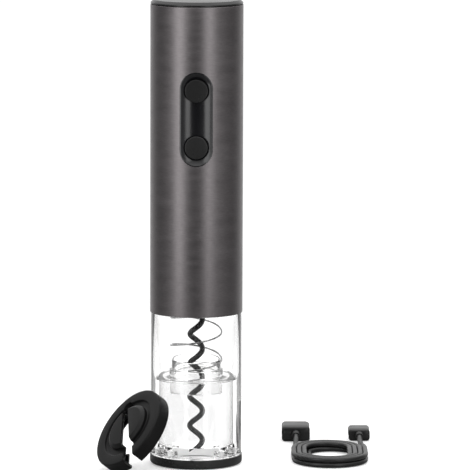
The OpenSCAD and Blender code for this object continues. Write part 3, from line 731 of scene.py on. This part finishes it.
def make_worm():
    """The screw: a round wire on a helix, drawn to a point over its first part turn."""
    radius = 3.25
    wire_r = 1.4
    pitch = 15.27
    passes_x_at = 12.9
    top_z = 77.8
    start, end = -0.5, (top_z - passes_x_at) / pitch
    steps = 280
    tip_turns = 0.42
    path = helix(radius, pitch, passes_x_at, start, end, steps)
    radii = []
    for i in range(steps + 1):
        turns = (end - start) * i / steps
        share = min(1.0, turns / tip_turns)
        radii.append(wire_r * (0.10 + 0.90 * math.sin(share * math.pi / 2)))
    worm = new_mesh("worm_screw", sweep(path, radii, 20), sharp_above=60)
    return wear(worm, "worm", "black_coated_steel", "worm")


# ---------------------------------------------------------------- foil cutter

CUTTER_R = 23.0


def cutter_place():
    """From the foil cutter's own axes to the frame: it leans on the clear housing."""
    lean, azimuth, turn = (math.radians(a) for a in (37, 209, 48))
    housing_r = box_mm("clear_housing")[1].x
    out = housing_r + 0.3 + CUTTER_R * math.sin(lean)
    stand = Matrix.Translation((out, 6, CUTTER_R * math.cos(lean) + 0.01))
    return (
        Matrix.Rotation(azimuth, 4, "Z") @ stand
        @ Matrix.Rotation(TURN / 4 - lean, 4, "Y") @ Matrix.Rotation(turn, 4, "Z")
    )


def scale_free(matrix):
    """The same placing for a mesh that is already in metres."""
    placed = matrix.copy()
    placed.translation = matrix.translation * MM
    return placed


def make_slot_tool():
    """The shape of the foil cutter's slot: a round hole at its end, a throat and a flared mouth."""
    hole_x, hole_r, throat, mouth = -15.3, 3.2, 3.6, 7.4
    far_x = CUTTER_R + 2
    mouth_there = throat + (mouth - throat) * (far_x - hole_x) / (CUTTER_R + 1 - hole_x)
    bend = math.asin(throat / 2 / hole_r)
    steps = 32
    outline = [Vector((far_x, -mouth_there / 2)), Vector((far_x, mouth_there / 2))]
    for k in range(steps + 1):
        angle = bend + (TURN - 2 * bend) * k / steps
        outline.append(Vector((
            hole_x + hole_r * math.cos(angle), hole_r * math.sin(angle),
        )))
    return new_mesh("slot_tool", loft([[(p.x, p.y, z) for p in outline] for z in (-2, 12)]))


def make_cutter():
    """The foil cutter's shell: a puck with a groove and a boss, hollow below for the wheels."""
    rim_z, top_z, web_z = 7.2, 9.2, 4.8
    groove_z = rim_z - 1.2
    pocket_z = rim_z + 0.4
    pocket_r, recess_r = 11.4, 21
    cutter = new_mesh("cutter_shell", revolve(rounded([
        (0, pocket_z, 0), (pocket_r, pocket_z, 1.0), (pocket_r, web_z, 0.3),
        (recess_r, web_z, 0.3), (recess_r, 0, 0.4), (CUTTER_R, 0, 0.4), (CUTTER_R, rim_z, 0.9),
        (16.8, rim_z, 0.4), (16.4, groove_z, 0.5), (13.2, groove_z, 0.5),
        (13.2, rim_z + 0.7, 0.5), (11.2, top_z, 0.8), (0, top_z, 0),
    ], 5)))
    combine(cutter, [make_slot_tool()], "DIFFERENCE")
    soften(cutter, 0.3)
    cutter.data.transform(scale_free(cutter_place()))
    return wear(cutter, "foil_cutter", "matte_black_plastic", "cutter_body")


# ---------------------------------------------------------------- studio


def darken_reflection(material):
    """Shows a pale surface as a darker one to rays that glossy things have mirrored."""
    tree = material.node_tree
    pale = first_node(tree, "BSDF_PRINCIPLED").outputs["BSDF"]
    tone = blend_colours(tree, noise(tree, 8), grey(0.20), grey(0.24))
    mirrored = add_node(tree, "ShaderNodeBsdfDiffuse", Color=tone).outputs["BSDF"]
    straight = calculate(tree, "LESS_THAN", light_path(tree, "Glossy Depth"), 0.5)
    shown = mix_shaders(tree, straight, mirrored, pale)
    feed(tree, first_node(tree, "OUTPUT_MATERIAL").inputs["Surface"], shown)


def make_floor():
    """A pale round table top, a hair below the object so that their faces don't coincide."""
    radius, gap = 190, 0.2
    shape = bmesh.new()
    bmesh.ops.create_circle(shape, cap_ends=True, radius=radius, segments=128)
    floor = new_mesh("floor", shape)
    paper = surface("floor_paper", grey(0.74), grey(0.78), (0.7, 0.8), patch=8, grain=900,
                    relief=0.02, Specular_IOR_Level=0.1, Emission_Color=grey(1),
                    Emission_Strength=0.35)
    darken_reflection(paper)
    floor.data.materials.append(paper)
    floor.location.z = -gap * MM


def walls(tree, share, levels):
    """Light levels round the horizon, from (degrees from the camera's side, level) pairs."""
    ring = add_node(tree, "ShaderNodeValToRGB", Fac=share)
    ramp = ring.color_ramp
    ramp.interpolation = "B_SPLINE"
    stops = [(angle / 360, level) for angle, level in levels]
    stops += [(1 - at, level) for at, level in stops[-2::-1]]
    ramp.elements[0].position, ramp.elements[0].color = stops[0][0], grey(stops[0][1])
    ramp.elements[1].position, ramp.elements[1].color = stops[-1][0], grey(stops[-1][1])
    for at, level in stops[1:-1]:
        ramp.elements.new(at).color = grey(level)
    return ring.outputs["Color"]


def mix_colours(tree, factor, first, second):
    """The first colour where factor is 0 and the second where it is 1."""
    node = add_node(tree, "ShaderNodeMix", {"data_type": "RGBA"}, Factor=factor)
    # A mix node's colour sockets come after those for numbers and vectors.
    feed(tree, node.inputs[6], first)
    feed(tree, node.inputs[7], second)
    return node.outputs[2]


def make_world():
    """White all round for the camera, with a studio's light and dark sides for the object.

    Rays that have passed through a clear part see a paler studio than the others.
    """
    world = bpy.data.worlds.new("studio")
    world.use_nodes = True
    bpy.context.scene.world = world
    tree = world.node_tree
    tree.nodes.clear()
    where = add_node(tree, "ShaderNodeTexCoord")
    axes = add_node(tree, "ShaderNodeSeparateXYZ", Vector=where.outputs["Generated"])
    bearing = calculate(tree, "ARCTAN2", axes.outputs["X"], axes.outputs["Y"])
    # 0 and 1 are the side the camera looks from, 0.5 the side it looks towards.
    share = between(tree, bearing, 0, 1, -math.pi, math.pi)
    solid = walls(tree, share, (
        (0, 0.05), (20, 0.14), (45, 0.50), (70, 0.42), (92, 0.20), (118, 0.22), (140, 0.85),
        (155, 1.0), (180, 1.0),
    ))
    clear = walls(tree, share, (
        (0, 0.02), (22, 0.05), (40, 0.55), (55, 0.85), (100, 0.94), (180, 0.94),
    ))
    inside = calculate(tree, "GREATER_THAN", light_path(tree, "Transmission Depth"), 0.5)
    height = between(tree, axes.outputs["Z"], 0, 1, 0.45, 0.85)
    round_about = mix_colours(tree, inside, solid, clear)
    lit = add_node(
        tree, "ShaderNodeBackground", Color=mix_colours(tree, height, round_about, grey(2.1)),
        Strength=between(tree, inside, 1.0, 1.3, 0, 1),
    ).outputs["Background"]
    seen = add_node(
        tree, "ShaderNodeBackground", Color=grey(1), Strength=1.05
    ).outputs["Background"]
    shown = mix_shaders(tree, light_path(tree, "Is Camera Ray"), lit, seen)
    add_node(tree, "ShaderNodeOutputWorld", Surface=shown)


def make_softbox(name, bearing, distance, height, width, tall, watts):
    """A tall soft light. bearing is in degrees from the camera's side, positive to the right."""
    data = bpy.data.lights.new(name, "AREA")
    data.shape = "RECTANGLE"
    data.size = width
    data.size_y = tall
    data.energy = watts
    light = bpy.data.objects.new(name, data)
    angle = math.radians(bearing)
    light.location = (distance * math.sin(angle), -distance * math.cos(angle), height)
    light.rotation_euler = (
        Vector((0, 0, 0.15)) - light.location
    ).to_track_quat("-Z", "Y").to_euler()
    bpy.context.scene.collection.objects.link(light)


# ---------------------------------------------------------------- the scene

make_camera()
materials = make_materials()
finish_cad_nodes(materials)
cord = make_cord()
make_plugs()
make_sleeve()
make_cap()
make_buttons()
make_base_ring()
make_bottle_seat()
make_clear_housing()
make_guide()
make_spring()
make_worm()
make_cutter()
make_floor()
make_world()
make_softbox(
    "left_softbox", bearing=-42, distance=1.5, height=0.35, width=0.55, tall=1.7, watts=8.1
)
make_softbox(
    "right_softbox", bearing=31, distance=1.6, height=0.35, width=0.50, tall=1.7, watts=6.8
)

plug_pieces = [bpy.data.objects[name] for name in ("usb_a_boot", "usb_c_boot")]
plug_pieces += [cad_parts[name] for name in ("usb_a_shell", "usb_c_shell")]

bpy.context.scene.view_settings.view_transform = "Standard"
